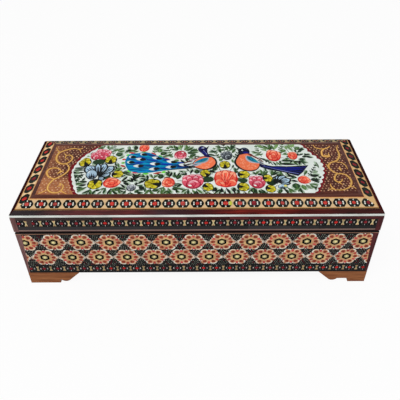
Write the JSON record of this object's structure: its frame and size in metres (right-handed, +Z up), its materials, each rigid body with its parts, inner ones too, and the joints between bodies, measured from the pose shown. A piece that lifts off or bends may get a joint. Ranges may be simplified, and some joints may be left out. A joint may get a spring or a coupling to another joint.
{
  "type": "pen box",
  "caption": "Long inlaid-wood pen box on bracket feet, with a hipped, hinged lid that frames a painted bird-and-flower panel; holds pens and small things.",
  "frame": {"origin": "on the resting plane, under the middle of the lid", "axes": "+X along the box to the right as seen from the front, +Y to the hinges at the back, +Z up"},
  "size_m": [0.22, 0.083, 0.0635],
  "materials": {
    "core_wood": "plain planed wood",
    "rosette_khatam": "lacquered micro-mosaic inlay with rosettes",
    "band_khatam": "lacquered micro-mosaic inlay on a black ground",
    "border_khatam": "lacquered micro-mosaic inlay on a tan ground",
    "edging_wood": "lacquered red-brown wood",
    "bevel_wood": "lacquered dark red wood",
    "light_wood": "thin lacquer on pale wood",
    "foot_wood": "satin varnish on warm brown wood",
    "bone": "polished bone",
    "painted_panel": "lacquered bird-and-flower painting",
    "velvet": "short velvet pile",
    "brass": "satin brass"
  },
  "bodies": {
    "box": {"bottom_board": "core_wood", "wall_front": "core_wood", "wall_right": "core_wood", "wall_back": "core_wood", "wall_left": "core_wood", "panel_front": "rosette_khatam", "panel_right": "rosette_khatam", "panel_back": "rosette_khatam", "panel_left": "rosette_khatam", "base_band_front": "band_khatam", "base_band_right": "band_khatam", "base_band_back": "band_khatam", "base_band_left": "band_khatam", "corner_front_left": "edging_wood", "corner_front_right": "edging_wood", "corner_back_left": "edging_wood", "corner_back_right": "edging_wood", "rim_front": "light_wood", "rim_right": "light_wood", "rim_back": "light_wood", "rim_left": "light_wood", "foot_front_left": "foot_wood", "foot_front_right": "foot_wood", "foot_back_left": "foot_wood", "foot_back_right": "foot_wood", "floor_lining": "velvet", "wall_lining": "velvet", "hinge_leaf_body_left": "brass", "hinge_leaf_body_right": "brass", "hinge_pin_left": "brass", "hinge_pin_right": "brass", "hinge_nails_body": "brass"},
    "lid": {"lid_board": "core_wood", "lid_rail_front": "edging_wood", "lid_rail_right": "edging_wood", "lid_rail_back": "edging_wood", "lid_rail_left": "edging_wood", "lid_band_front": "band_khatam", "lid_band_right": "band_khatam", "lid_band_back": "band_khatam", "lid_band_left": "band_khatam", "lid_corners": "edging_wood", "bone_line": "bone", "lid_lip": "light_wood", "bevel_front": "bevel_wood", "bevel_right": "bevel_wood", "bevel_back": "bevel_wood", "bevel_left": "bevel_wood", "border_front": "border_khatam", "border_right": "border_khatam", "border_back": "border_khatam", "border_left": "border_khatam", "panel_fillet": "bevel_wood", "painted_panel": "painted_panel", "lid_lining": "velvet", "hinge_leaf_lid_left": "brass", "hinge_leaf_lid_right": "brass", "hinge_nails_lid": "brass"}
  },
  "joints": [
    {"name": "lid_hinge", "type": "hinge", "parent": "box", "child": "lid", "pos_m": [0, 0.04025, 0.0445], "axis": [-1, 0, 0], "range_deg": [0, 118]}
  ]
}
